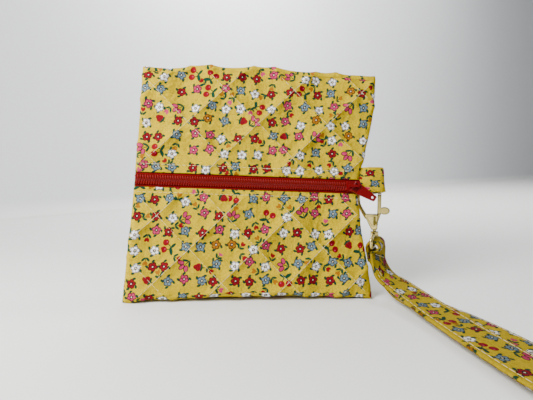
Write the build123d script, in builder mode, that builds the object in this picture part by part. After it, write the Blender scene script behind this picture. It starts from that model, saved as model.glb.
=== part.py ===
from build123d import *
from math import cos, exp, pi, radians, sin, tan
import os

# Quilted cotton wristlet wallet: a soft pouch with a zipper across its front, a fabric tab in the
# right side seam, a swivel trigger clasp hooked through the tab, and a folded wrist strap.
# Frame: millimetres, +X right, +Y to the back, +Z up. The origin is on the surface that the pouch
# stands on, under the middle of its base.

os.makedirs("parts", exist_ok=True)

# ---- pouch -----------------------------------------------------------------------------------
height = 120.0            # standing height of the filled pouch
front_lean = 12.0         # the front panel leans back, degrees
side_lean = 2.8           # the soft pouch stands askew to the right, degrees
front_base_y = -12.0      # where the front panel's plane meets the table
left_base_x = -62.5
right_base_x = 61.9
left_hollow = 0.9         # the left edge is drawn in at mid height
pinch_depth = 7.6         # the right edge is drawn in beside the zipper
pinch_height = 52.0
pinch_spread = 31.0
edge_depth = 5.0          # front and back layers together at a side seam
belly_depth = 26.0        # how far the back stands out at the base
belly_power = 0.8
bow_depth = 0.8           # the back layer stands out this much even at the top fold
base_round = 1.0          # rounding of the base fold, over base_round_height
base_round_height = 2.0
top_round = 1.6           # rounding of the top fold, over top_round_height
top_round_height = 3.0

# ---- the three quilted layers: wall depth and seam width to the outside and the inside --------
cover_inner_wall, cover_inner_seam, cover_inner_top = 0.80, 2.40, 118.4
batting_outer_wall, batting_outer_seam, batting_outer_top = 0.84, 2.44, 118.3
batting_inner_wall, batting_inner_seam, batting_inner_top = 2.00, 3.60, 115.0
lining_outer_wall, lining_outer_seam, lining_outer_top = 2.04, 3.64, 114.9
lining_inner_wall, lining_inner_seam, lining_inner_top = 2.40, 4.00, 113.0

# ---- zipper ----------------------------------------------------------------------------------
zip_height = 58.6         # middle of the zipper at x = 0
zip_slope = -1.8          # the zipper runs slightly down to the right, degrees
slot_half = 3.8           # half the gap between the folded fabric edges
tape_half = 12.2          # tape edge to zipper middle
tape_front, tape_back = -0.95, -1.50
coil_inner, coil_outer = 0.30, 1.90
coil_back, coil_front = -0.90, 0.50
tape_left, tape_right = -57.9, 55.4
coil_left, coil_right = -58.6, 57.1
slider_u = 53.6           # slider middle, zipper closed
stitch_above, stitch_below = 8.0, -6.2
stitch_length, stitch_pitch, thread = 2.5, 3.1, 0.35

# ---- pull ------------------------------------------------------------------------------------
pull_turn = -30.0         # the pull points down to the right, degrees
pull_reach = 13.2
pull_thickness = 0.8
pull_root_half, pull_tip_half = 2.9, 1.5
pull_hole_radius = 0.65
pull_hole_at = 11.3
pull_level = 2.35         # bar middle above the front panel

# ---- tab -------------------------------------------------------------------------------------
tab_height = 60.0
tab_layer = 1.3
tab_tunnel_half = 2.2
tab_low, tab_high = -6.3, 6.9
tab_rear_high = -0.1      # the rear layer is bunched below the clasp's arch

# ---- clasp -----------------------------------------------------------------------------------
clasp_x, clasp_y, clasp_z = 67.4, 3.55, 33.5
clasp_turn = 24.0         # the hook's left side lies further back, degrees
wire_radius = 1.0
body_half_thickness = 1.7
pin_x, pin_z, pin_radius = 0.5, 4.0, 0.5
ring_turn = 62.0          # the strap ring's bar, degrees from +X
ring_wire = 0.9
ring_half = 10.2
bar_z, ring_top_z = 24.9, 31.3
post_radius, post_bore = 0.9, 0.96

# ---- wrist strap -----------------------------------------------------------------------------
strap_width = 18.0
strap_thickness = 2.0
layer_step = 1.15         # strap middle surface to the joint's middle
fold_radius = 3.2         # strap middle surface about the fold's middle
fold_shift = 0.9          # the loose fold hangs this far outward of the ring's bar
# x, y, z of the strap's middle, and the direction of its width, degrees from +X
joint_point = (68.5, 2.2, 18.4, 56.0)
upper_run = [
    (71.0, -7.0, 11.0, 44.0),
    (75.6, -18.5, 7.2, 30.0),
    (79.3, -33.0, 4.9, 18.0),
    (81.7, -51.0, 3.9, 11.0),
    (83.4, -71.0, 3.9, 7.0),
    (85.8, -94.0, 4.1, 8.0),
    (89.3, -118.0, 4.9, 10.0),
    (93.0, -140.0, 6.3, 12.0),
]
lower_run = [
    (95.6, -141.0, 1.2, 12.0),
    (98.0, -120.0, 1.2, 9.0),
    (98.8, -98.0, 1.2, 9.0),
    (97.8, -80.0, 1.2, 11.0),
    (95.2, -61.0, 1.2, 14.0),
    (90.6, -43.0, 1.2, 18.0),
    (83.6, -27.0, 1.9, 26.0),
    (75.6, -13.0, 5.4, 38.0),
]
far_middle = (94.6, -145.5, 3.75)
far_radius = 2.55
far_heading = (0.208, -0.978, 0.0)


def save(part, name):
    part.label = name
    export_step(part, "parts/" + name + ".step")


# ---- pouch outline at any height ---------------------------------------------------------------
def left_x(z):
    return left_base_x + z * tan(radians(side_lean)) + left_hollow * sin(pi * z / height)


def right_x(z):
    pinch = pinch_depth * exp(-(((z - pinch_height) / pinch_spread) ** 2))
    return right_base_x + z * tan(radians(side_lean)) - pinch


def front_y(z):
    return front_base_y + z * tan(radians(front_lean))


def depth(z):
    return edge_depth + bow_depth + belly_depth * (1 - z / height) ** belly_power


def fold_inset(z):
    if z < base_round_height:
        return base_round * (1 - z / base_round_height)
    return top_round * max(0.0, (z - height + top_round_height) / top_round_height)


def outline(z, wall, seam):
    """One closed level outline: flat front, flat side edges and a bowed back."""
    inset = wall + fold_inset(z)
    left = left_x(z) + seam
    right = right_x(z) - seam
    front = front_y(z) + inset
    side = front_y(z) + edge_depth - inset
    back = front_y(z) + depth(z) - inset
    with BuildSketch(Plane.XY.offset(z)) as level:
        with BuildLine():
            Line((left, front), (right, front))
            Line((right, front), (right, side))
            ThreePointArc((right, side), ((left + right) / 2, back), (left, side))
            Line((left, side), (left, front))
        make_face()
    return level.sketch


def levels(bottom, top):
    steps = [2.0, 8.0, 16.0, 28.0, 40.0, 52.0, 64.0, 76.0, 88.0, 100.0, 112.0, 117.0]
    return [bottom] + [z for z in steps if bottom < z < top] + [top]


def bag(bottom, top, wall, seam):
    """A closed pouch-shaped solid between two heights."""
    return loft([outline(z, wall, seam) for z in levels(bottom, top)], ruled=True, mode=Mode.PRIVATE)


# The front panel's plane, with its middle on the zipper: x runs along the zipper, y up the panel,
# and z out of the panel.
lean, slope = radians(front_lean), radians(zip_slope)
zip_plane = Plane(
    origin=(0, front_y(zip_height), zip_height),
    x_dir=(cos(slope), sin(slope) * sin(lean), sin(slope) * cos(lean)),
    z_dir=(0, -cos(lean), sin(lean)),
)
# The tab's plane is parallel to the front panel, midway between the two layers at the side seam.
tab_plane = Plane(
    origin=(0, front_y(tab_height) + edge_depth / 2, tab_height),
    x_dir=(1, 0, 0),
    z_dir=(0, -cos(lean), sin(lean)),
)
tape_span = tape_right - tape_left
tape_middle = (tape_left + tape_right) / 2
tab_root_left = 55.7
tab_root_half = tab_layer + 0.05

# ---- outer cover: one quilted cloth folded over the top and the base, open along the zipper -----
with BuildPart() as outer_cover:
    add(bag(0.0, height, 0.0, 0.0))
    add(bag(cover_inner_wall, cover_inner_top, cover_inner_wall, cover_inner_seam), mode=Mode.SUBTRACT)
    with BuildSketch(zip_plane.offset(-0.94)):
        Rectangle(2 * height, 2 * slot_half)
    extrude(amount=4.0, mode=Mode.SUBTRACT)
    with BuildSketch(zip_plane.offset(tape_back - 0.04)):
        with Locations((tape_middle, 0)):
            Rectangle(tape_span + 0.1, 2 * tape_half + 0.2)
    extrude(amount=tape_front - tape_back + 0.08, mode=Mode.SUBTRACT)
    with BuildSketch(tab_plane.offset(-tab_root_half - 0.03)):
        with Locations((tab_root_left + 5 - 0.05, (tab_low + tab_high) / 2)):
            Rectangle(10, tab_high - tab_low + 0.1)
    extrude(amount=2 * tab_root_half + 0.06, mode=Mode.SUBTRACT)
save(outer_cover.part, "outer_cover")

# ---- batting: the padding between the two cloths ------------------------------------------------
with BuildPart() as batting:
    add(bag(batting_outer_wall, batting_outer_top, batting_outer_wall, batting_outer_seam))
    add(
        bag(batting_inner_wall, batting_inner_top, batting_inner_wall, batting_inner_seam),
        mode=Mode.SUBTRACT,
    )
    with BuildSketch(zip_plane.offset(-2.02)):
        Rectangle(2 * height, 2 * tape_half + 0.6)
    extrude(amount=4.0, mode=Mode.SUBTRACT)
    with BuildSketch(tab_plane.offset(-tab_root_half - 0.03)):
        with Locations((tab_root_left + 5 - 0.05, (tab_low + tab_high) / 2)):
            Rectangle(10, tab_high - tab_low + 0.1)
    extrude(amount=2 * tab_root_half + 0.06, mode=Mode.SUBTRACT)
save(batting.part, "batting")

# ---- lining -------------------------------------------------------------------------------------
with BuildPart() as lining:
    add(bag(lining_outer_wall, lining_outer_top, lining_outer_wall, lining_outer_seam))
    add(
        bag(lining_inner_wall, lining_inner_top, lining_inner_wall, lining_inner_seam),
        mode=Mode.SUBTRACT,
    )
    with BuildSketch(zip_plane.offset(-2.40)):
        Rectangle(2 * height, 2 * slot_half)
    extrude(amount=4.0, mode=Mode.SUBTRACT)
save(lining.part, "lining")


# ---- zipper tapes and coil halves ---------------------------------------------------------------
def zip_strip(side, inner, outer, back, front, left, right):
    """A flat strip beside the zipper's middle line, above it (side 1) or below it (side -1)."""
    with BuildPart() as strip:
        with BuildSketch(zip_plane.offset(back)):
            with Locations(((left + right) / 2, side * (inner + outer) / 2)):
                Rectangle(right - left, outer - inner)
        extrude(amount=front - back)
    return strip.part


for side, word in ((1, "upper"), (-1, "lower")):
    tape = zip_strip(side, coil_inner, tape_half, tape_back, tape_front, tape_left, tape_right)
    save(tape, "zipper_tape_" + word)
    coil = zip_strip(side, coil_inner, coil_outer, coil_back, coil_front, coil_left, coil_right)
    save(coil, "zipper_coil_" + word)


# ---- topstitching along both folded edges -------------------------------------------------------
def stitch_row(row_y, left, right):
    count = int((right - left) / stitch_pitch)
    with BuildPart() as row:
        with BuildSketch(zip_plane.offset(0.02)):
            with Locations(((left + right) / 2, row_y)):
                with GridLocations(stitch_pitch, 1, count, 1):
                    SlotOverall(stitch_length, thread)
        extrude(amount=thread)
    return row.part


save(stitch_row(stitch_above, -55.0, 55.0), "topstitch_upper")
save(stitch_row(stitch_below, -56.5, 54.0), "topstitch_lower")

# ---- slider: front plate with two flanges, a web between the coil halves and a rear plate -------
with BuildPart() as slider_body:
    with BuildSketch(zip_plane.offset(0.75)):
        with Locations((slider_u, 0)):
            Trapezoid(6.6, 7.4, 80, rotation=90)
        fillet(vertices(), 0.9)
    extrude(amount=1.0)
    with BuildSketch(zip_plane.offset(-0.78)):
        with Locations((slider_u, 2.55), (slider_u, -2.55)):
            Rectangle(6.0, 0.7)
    extrude(amount=1.6)
    with BuildSketch(zip_plane.offset(-1.70)):
        with Locations((slider_u - 2.05, 0)):
            Rectangle(2.7, 0.30)
    extrude(amount=2.6)
    with BuildSketch(zip_plane.offset(-2.45)):
        with Locations((slider_u - 2.05, 0)):
            RectangleRounded(3.1, 6.4, 0.8)
    extrude(amount=0.80)
save(slider_body.part, "slider_body")

# ---- slider bridge: the loop that holds the pull ------------------------------------------------
bridge_plane = Plane(origin=zip_plane.from_local_coords((slider_u, 0, 1.76)), x_dir=zip_plane.x_dir,
                     z_dir=-zip_plane.y_dir)
with BuildPart() as slider_bridge:
    with BuildSketch(bridge_plane):
        with Locations((0, 1.0)):
            Rectangle(5.6, 2.0)
        fillet(vertices().group_by(Axis(bridge_plane.origin, bridge_plane.y_dir))[-1], 0.9)
        with Locations((0, 0.62)):
            Rectangle(4.0, 1.26, mode=Mode.SUBTRACT)
    extrude(amount=0.7, both=True)
save(slider_bridge.part, "slider_bridge")

# ---- pull: a round bar under the bridge, an open eye and a tapered leaf with a small hole -------
turn = radians(pull_turn)
pull_origin = zip_plane.from_local_coords((slider_u, 0, pull_level))
pull_x = zip_plane.x_dir * cos(turn) + zip_plane.y_dir * sin(turn)
pull_plane = Plane(origin=pull_origin, x_dir=pull_x, z_dir=zip_plane.z_dir)
bar_plane = Plane(origin=pull_origin, x_dir=pull_x, z_dir=pull_plane.y_dir)
with BuildPart() as zipper_pull:
    with BuildSketch(pull_plane.offset(-pull_thickness / 2)):
        with BuildLine():
            Polyline(
                (0, -pull_root_half),
                (3.8, -pull_root_half + 0.2),
                (pull_reach, -pull_tip_half),
                (pull_reach, pull_tip_half),
                (3.8, pull_root_half - 0.2),
                (0, pull_root_half),
                close=True,
            )
        make_face()
        fillet(vertices().group_by(Axis(pull_plane.origin, pull_plane.x_dir))[-1], 1.1)
        with Locations((1.45, 0)):
            Rectangle(3.3, 4.2, mode=Mode.SUBTRACT)
        with Locations((pull_hole_at, 0)):
            Circle(pull_hole_radius, mode=Mode.SUBTRACT)
    extrude(amount=pull_thickness)
    with BuildSketch(bar_plane.offset(-pull_root_half)):
        Circle(pull_thickness / 2)
    extrude(amount=2 * pull_root_half)
save(zipper_pull.part, "zipper_pull")

# ---- side tab: a folded cloth loop whose ends are sewn into the right side seam ------------------
fold_centre = 69.0
flare_start, flare_end = 58.6, 62.6
outer_w = tab_tunnel_half + tab_layer


def tab_outline(full):
    """The tab seen along its tunnel: both layers and the fold, or the front layer alone."""
    with BuildSketch() as shape:
        with BuildLine():
            Line((tab_root_left, tab_root_half), (flare_start, tab_root_half))
            Line((flare_start, tab_root_half), (flare_end, outer_w))
            Line((flare_end, outer_w), (fold_centre, outer_w))
            if full:
                ThreePointArc((fold_centre, outer_w), (fold_centre + outer_w, 0), (fold_centre, -outer_w))
                Line((fold_centre, -outer_w), (flare_end, -outer_w))
                Line((flare_end, -outer_w), (flare_start, -tab_root_half))
                Line((flare_start, -tab_root_half), (tab_root_left, -tab_root_half))
                Line((tab_root_left, -tab_root_half), (tab_root_left, tab_root_half))
            else:
                ThreePointArc(
                    (fold_centre, outer_w),
                    (fold_centre + outer_w * sin(pi / 4), outer_w * cos(pi / 4)),
                    (fold_centre + outer_w, 0),
                )
                Line((fold_centre + outer_w, 0), (fold_centre + tab_tunnel_half, 0))
                Line((fold_centre + tab_tunnel_half, 0), (tab_root_left, 0))
                Line((tab_root_left, 0), (tab_root_left, tab_root_half))
        make_face()
    return shape.sketch


def tunnel_outline():
    with BuildSketch() as shape:
        with BuildLine():
            Line((flare_start + 0.6, 0.0), (flare_end + 0.4, tab_tunnel_half))
            Line((flare_end + 0.4, tab_tunnel_half), (fold_centre, tab_tunnel_half))
            ThreePointArc(
                (fold_centre, tab_tunnel_half),
                (fold_centre + tab_tunnel_half, 0),
                (fold_centre, -tab_tunnel_half),
            )
            Line((fold_centre, -tab_tunnel_half), (flare_end + 0.4, -tab_tunnel_half))
            Line((flare_end + 0.4, -tab_tunnel_half), (flare_start + 0.6, 0.0))
        make_face()
    return shape.sketch


# Looking down the tunnel: x to the right, y out of the panel.
tunnel_plane = Plane(origin=tab_plane.origin, x_dir=(1, 0, 0), z_dir=-tab_plane.y_dir)
with BuildPart() as side_tab:
    with BuildSketch(tunnel_plane.offset(-tab_rear_high)):
        add(tab_outline(True))
        add(tunnel_outline(), mode=Mode.SUBTRACT)
    extrude(amount=tab_rear_high - tab_low)
    with BuildSketch(tunnel_plane.offset(-tab_high)):
        add(tab_outline(False))
        add(tunnel_outline(), mode=Mode.SUBTRACT)
    extrude(amount=tab_high - tab_rear_high)
save(side_tab.part, "side_tab")

# ---- clasp: hook, gate, pin, spring and swivel ----------------------------------------------------
face_turn = radians(clasp_turn)
clasp_plane = Plane(
    origin=(clasp_x, clasp_y, clasp_z),
    x_dir=(cos(face_turn), -sin(face_turn), 0),
    z_dir=(-sin(face_turn), -cos(face_turn), 0),
)
arch_right, arch_z, nose_z = 2.1, 24.2, 19.4
with BuildLine() as hook_line:
    lower = Line((-4.4, 6.2), (-7.9, 12.0))
    bend = JernArc(lower @ 1, lower % 1, 8.0, -31.11)
    rise = Line(bend @ 1, ((bend @ 1).X, arch_z))
    over_middle = ((bend @ 1).X + arch_right) / 2
    over = ThreePointArc(
        rise @ 1,
        (over_middle, arch_z + arch_right - over_middle),
        (arch_right, arch_z),
    )
    Line(over @ 1, (arch_right, nose_z))
hook_path = clasp_plane.location * hook_line.line
with BuildPart() as hook_frame:
    with BuildSketch(Plane(origin=hook_path @ 0, z_dir=hook_path % 0)):
        Circle(wire_radius)
    sweep(path=hook_path)
    with BuildSketch(clasp_plane.offset(-body_half_thickness)):
        with BuildLine():
            Polyline((-5.9, 8.5), (2.0, 8.5), (1.5, 0.2), (-1.5, 0.2), close=True)
        make_face()
        fillet(vertices(), 0.6)
    extrude(amount=2 * body_half_thickness)
    with BuildSketch(clasp_plane.offset(body_half_thickness - 0.25)):
        with BuildLine():
            Polyline((-4.2, 7.3), (0.5, 7.3), (0.3, 2.0), (-0.9, 2.0), close=True)
        make_face()
        fillet(vertices(), 0.35)
    extrude(amount=1.0, mode=Mode.SUBTRACT)
    with BuildSketch(clasp_plane.offset(-0.75)):
        with Locations((2.4, 5.6)):
            Rectangle(6.2, 6.4)
    extrude(amount=1.5, mode=Mode.SUBTRACT)
    with BuildSketch(clasp_plane.offset(-body_half_thickness - 0.1)):
        with Locations((pin_x, pin_z)):
            Circle(pin_radius)
    extrude(amount=2 * body_half_thickness + 0.2, mode=Mode.SUBTRACT)
save(hook_frame.part, "hook_frame")

with BuildPart() as gate_pin:
    with BuildSketch(clasp_plane.offset(-body_half_thickness)):
        with Locations((pin_x, pin_z)):
            Circle(pin_radius - 0.005)
    extrude(amount=2 * body_half_thickness)
save(gate_pin.part, "gate_pin")

with BuildPart() as gate_spring:
    with BuildSketch(clasp_plane.offset(0.36)):
        with Locations((pin_x, pin_z)):
            Circle(1.0)
            Circle(pin_radius + 0.05, mode=Mode.SUBTRACT)
        with Locations((-0.15, 5.8)):
            Rectangle(0.35, 2.6)
    extrude(amount=0.34)
save(gate_spring.part, "gate_spring")

with BuildPart() as gate_lever:
    with BuildSketch(clasp_plane.offset(-0.70)):
        with BuildLine():
            Polyline((pin_x - 0.9, 3.6), (pin_x + 0.9, 3.2), (3.1, 8.7), (1.2, 8.7), close=True)
        make_face()
        fillet(vertices().group_by(Axis(clasp_plane.origin, clasp_plane.y_dir))[0], 0.3)
        with Locations((pin_x, pin_z)):
            Circle(1.0)
            Circle(pin_radius + 0.05, mode=Mode.SUBTRACT)
    extrude(amount=1.0)
    with BuildSketch(clasp_plane.offset(-0.95)):
        with BuildLine():
            Polyline((1.2, 8.62), (3.15, 8.62), (3.05, nose_z - 0.2), (1.2, nose_z - 0.2), close=True)
        make_face()
    extrude(amount=1.9)
    with BuildSketch(clasp_plane.offset(-0.8)):
        with Locations((4.9, 10.6)):
            Ellipse(2.7, 2.0)
        with Locations((3.2, 10.6)):
            Rectangle(1.6, 2.4)
    extrude(amount=1.6)
save(gate_lever.part, "gate_lever")

swivel_axis = Plane(origin=(clasp_x, clasp_y, 0))
with BuildPart() as swivel_post:
    with BuildSketch(swivel_axis.offset(29.4)):
        Circle(1.6)
    extrude(amount=0.8)
    with BuildSketch(swivel_axis.offset(29.4)):
        Circle(post_radius)
    extrude(amount=clasp_z + 0.19 - 29.4)
save(swivel_post.part, "swivel_post")

# ---- strap ring: a rounded wire frame with a bored boss on top -----------------------------------
ring_angle = radians(ring_turn)
ring_across = Vector(cos(ring_angle), sin(ring_angle), 0)
ring_normal = Vector(sin(ring_angle), -cos(ring_angle), 0)
ring_plane = Plane(
    origin=(clasp_x, clasp_y, (bar_z + ring_top_z) / 2),
    x_dir=ring_across,
    z_dir=ring_normal,
)
half_rise = (ring_top_z - bar_z) / 2
with BuildPart() as strap_ring:
    with BuildLine(ring_plane) as ring_line:
        FilletPolyline(
            (ring_half, -half_rise),
            (ring_half, half_rise - 1.6),
            (5.0, half_rise),
            (-5.0, half_rise),
            (-ring_half, half_rise - 1.6),
            (-ring_half, -half_rise),
            radius=1.5,
            close=True,
        )
    with BuildSketch(Plane(origin=ring_line.line @ 0, z_dir=ring_line.line % 0)):
        Circle(ring_wire)
    sweep(path=ring_line.line)
    with BuildSketch(swivel_axis.offset(30.4)):
        Circle(2.1)
    extrude(amount=2.3)
    with BuildSketch(swivel_axis.offset(30.2)):
        Circle(post_bore)
    extrude(amount=3.0, mode=Mode.SUBTRACT)
save(strap_ring.part, "strap_ring")


# ---- wrist strap: one folded cloth strip, round the ring's bar and back to its own start ----------
def unit(v):
    return v * (1 / v.length)


def section_plane(point, heading, width_turn):
    """Plane across the strap: x along its width, z along its run."""
    ahead = unit(heading)
    across = Vector(cos(radians(width_turn)), sin(radians(width_turn)), 0)
    across = unit(across - ahead * across.dot(ahead))
    return Plane(origin=point, x_dir=across, z_dir=ahead)


bar = Vector(clasp_x, clasp_y, bar_z)
fold_middle = bar + ring_normal * fold_shift
joint = Vector(*joint_point[:3])
joint_heading = Vector(*upper_run[0][:3]) - bar
joint_plane = section_plane(joint, joint_heading, joint_point[3])
up = Vector(0, 0, 1)
sections = [
    Plane(
        origin=joint - joint_plane.y_dir * layer_step,
        x_dir=joint_plane.x_dir,
        z_dir=-joint_plane.z_dir,
    )
]
for step in range(7):
    angle = radians(180 - 30 * step)
    around = ring_normal * cos(angle) + up * sin(angle)
    ahead = ring_normal * sin(angle) - up * cos(angle)
    sections.append(section_plane(fold_middle + around * fold_radius, ahead, ring_turn))
sections.append(
    Plane(
        origin=joint + joint_plane.y_dir * layer_step,
        x_dir=joint_plane.x_dir,
        z_dir=joint_plane.z_dir,
    )
)


def add_run(points, start, finish):
    """Sections at each point of a run, heading from the point before to the point after."""
    chain = [start] + [Vector(*p[:3]) for p in points] + [finish]
    for index, p in enumerate(points):
        heading = chain[index + 2] - chain[index]
        sections.append(section_plane(chain[index + 1], heading, p[3]))


far = Vector(*far_middle)
far_ahead = Vector(*far_heading)
far_turn = upper_run[-1][3]
add_run(upper_run, joint + joint_plane.y_dir * layer_step, far + up * far_radius)
for step in range(7):
    angle = radians(90 - 30 * step)
    around = far_ahead * cos(angle) + up * sin(angle)
    ahead = far_ahead * sin(angle) - up * cos(angle)
    sections.append(section_plane(far + around * far_radius, ahead, far_turn))
lower_end = joint - joint_plane.y_dir * layer_step + joint_plane.z_dir * 1.2
add_run(lower_run, far - up * far_radius, lower_end)
sections.append(Plane(origin=lower_end, x_dir=joint_plane.x_dir, z_dir=-joint_plane.z_dir))

with BuildPart() as wrist_strap:
    for plane in sections:
        with BuildSketch(plane):
            Rectangle(strap_width, strap_thickness)
    loft(ruled=True)
save(wrist_strap.part, "wrist_strap")

# ---- stitches that close the strap round the ring ------------------------------------------------
tack_plane = Plane(
    origin=joint + joint_plane.y_dir * (layer_step + strap_thickness / 2 - 0.1),
    x_dir=joint_plane.x_dir,
    z_dir=joint_plane.y_dir,
)
with BuildPart() as strap_tack:
    with BuildSketch(tack_plane):
        with GridLocations(2.3, 1, 5, 1):
            SlotOverall(1.8, thread)
    extrude(amount=0.3)
save(strap_tack.part, "strap_tack")
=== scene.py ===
import bpy
import math
import numpy as np
from mathutils import Matrix, Vector


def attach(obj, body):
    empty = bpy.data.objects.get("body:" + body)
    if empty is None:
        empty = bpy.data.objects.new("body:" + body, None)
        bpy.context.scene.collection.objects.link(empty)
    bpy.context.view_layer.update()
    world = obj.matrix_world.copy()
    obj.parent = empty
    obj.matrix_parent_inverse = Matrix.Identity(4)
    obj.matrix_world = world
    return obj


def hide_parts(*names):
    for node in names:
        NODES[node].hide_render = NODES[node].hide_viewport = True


# Looks of the quilted wristlet wallet. Lengths in the shape code are millimetres in the CAD part's
# own frame and are turned into metres when a mesh is made.
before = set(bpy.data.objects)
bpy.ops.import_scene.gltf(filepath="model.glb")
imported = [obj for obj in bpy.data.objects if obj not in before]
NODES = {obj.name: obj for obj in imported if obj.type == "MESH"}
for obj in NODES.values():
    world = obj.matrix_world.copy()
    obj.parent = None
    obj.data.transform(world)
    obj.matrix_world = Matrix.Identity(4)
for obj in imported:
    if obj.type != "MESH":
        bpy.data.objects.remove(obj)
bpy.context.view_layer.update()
MM = 0.001
TURN = 2 * math.pi
UV_SCALE = 100.0  # millimetres of cloth in one unit of the cloth coordinates
rng = np.random.default_rng(7)


# ---- camera, fitted to the pouch's outline -------------------------------------------------------
EYE = Vector((-7.96, -205.83, 68.64)) * MM
YAW, PITCH, ROLL = math.radians(4.51), math.radians(5.18), math.radians(0.49)
ahead = Vector((math.sin(YAW) * math.cos(PITCH), math.cos(YAW) * math.cos(PITCH), -math.sin(PITCH)))
level = Vector((math.cos(YAW), -math.sin(YAW), 0.0))
upright = level.cross(ahead)
right = level * math.cos(ROLL) + upright * math.sin(ROLL)
up = upright * math.cos(ROLL) - level * math.sin(ROLL)
camera_data = bpy.data.cameras.new("camera")
camera_data.sensor_width = 36.0
camera_data.lens = 27.02
camera_data.clip_start = 0.01
camera = bpy.data.objects.new("camera", camera_data)
camera.matrix_world = Matrix((
    (right.x, up.x, -ahead.x, EYE.x),
    (right.y, up.y, -ahead.y, EYE.y),
    (right.z, up.z, -ahead.z, EYE.z),
    (0.0, 0.0, 0.0, 1.0),
))
bpy.context.scene.collection.objects.link(camera)
bpy.context.scene.camera = camera


# ---- node materials ------------------------------------------------------------------------------
class Shader:
    """A small helper that builds one node material."""

    def __init__(self, name):
        self.material = bpy.data.materials.new(name)
        self.material.use_nodes = True
        self.tree = self.material.node_tree
        self.bsdf = self.tree.nodes["Principled BSDF"]

    def node(self, kind, inputs=(), **settings):
        made = self.tree.nodes.new(kind)
        for key, value in settings.items():
            setattr(made, key, value)
        for key, value in dict(inputs).items():
            self.put(made.inputs[key], value)
        return made

    def put(self, socket, value):
        if isinstance(value, bpy.types.NodeSocket):
            self.tree.links.new(value, socket)
        else:
            socket.default_value = value

    def math(self, operation, a, b=0.0, c=0.0, clamp=False):
        made = self.node("ShaderNodeMath", {0: a, 1: b, 2: c}, operation=operation)
        made.use_clamp = clamp
        return made.outputs[0]

    def add(self, a, b):
        return self.math("ADD", a, b)

    def sub(self, a, b):
        return self.math("SUBTRACT", a, b)

    def mul(self, a, b):
        return self.math("MULTIPLY", a, b)

    def edge(self, value, sharpness):
        """1 where value is above 0, 0 where it is below, with a short ramp between."""
        return self.math("MULTIPLY_ADD", value, sharpness, 0.5, clamp=True)

    def mix(self, factor, a, b):
        made = self.node("ShaderNodeMix", data_type="RGBA")
        self.put(made.inputs[0], factor)
        self.put(made.inputs[6], a)
        self.put(made.inputs[7], b)
        return made.outputs[2]

    def noise(self, vector, scale, detail=2.0, roughness=0.5):
        made = self.node(
            "ShaderNodeTexNoise",
            {"Vector": vector, "Scale": scale, "Detail": detail, "Roughness": roughness},
        )
        return made.outputs["Fac"]

    def pick(self, value, stops):
        """A constant-step ramp: the colour of the last stop at or below value."""
        made = self.node("ShaderNodeValToRGB", {"Fac": value})
        ramp = made.color_ramp
        ramp.interpolation = "CONSTANT"
        while len(ramp.elements) < len(stops):
            ramp.elements.new(0.5)
        for element, (position, colour) in zip(ramp.elements, stops):
            element.position = position
            element.color = colour
        return made.outputs["Color"]

    def cloth_coordinates(self):
        """Position on the flat cloth, in millimetres."""
        uv = self.node("ShaderNodeUVMap", uv_map="cloth")
        made = self.node(
            "ShaderNodeVectorMath", {0: uv.outputs["UV"], 1: (UV_SCALE, UV_SCALE, 0.0)},
            operation="MULTIPLY",
        )
        return made.outputs["Vector"]

    def bump(self, height, strength, distance):
        made = self.node(
            "ShaderNodeBump", {"Height": height, "Strength": strength, "Distance": distance}
        )
        self.put(self.bsdf.inputs["Normal"], made.outputs["Normal"])

    def finish(self, **values):
        names = {
            "colour": "Base Color", "roughness": "Roughness", "metallic": "Metallic",
            "coat": "Coat Weight", "coat_roughness": "Coat Roughness",
            "specular": "Specular IOR Level",
        }
        for key, value in values.items():
            self.put(self.bsdf.inputs[names[key]], value)
        return self.material


# Linear colours of the print and the zipper. They are dark and saturated because the display
# transform brightens and greys them.
WHITE, RED, PINK = (0.92, 0.91, 0.87, 1.0), (0.215, 0.003, 0.006, 1.0), (0.46, 0.035, 0.10, 1.0)
BLUE, OCHRE, GREEN = (0.125, 0.20, 0.235, 1.0), (0.33, 0.12, 0.0, 1.0), (0.004, 0.045, 0.022, 1.0)
CREAM = (0.70, 0.60, 0.40, 1.0)
NAVY = (0.012, 0.004, 0.010, 1.0)
GROUND, DEEP_GROUND = (0.61, 0.44, 0.0, 1.0), (0.42, 0.28, 0.0, 1.0)
# Zipper reds: the tape and coil red, and two darker reds that are painted shade in the tape's rib
# troughs, its groove, under the cloth's edge and in the coil's gaps.
PAINTED_RIB_SHADE_RED, BRIGHT_RED = (0.11, 0.001, 0.001, 1.0), (0.22, 0.002, 0.001, 1.0)
PAINTED_SHADE_RED = (0.03, 0.0, 0.0, 1.0)
BLACK = (0.0, 0.0, 0.0, 1.0)


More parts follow.
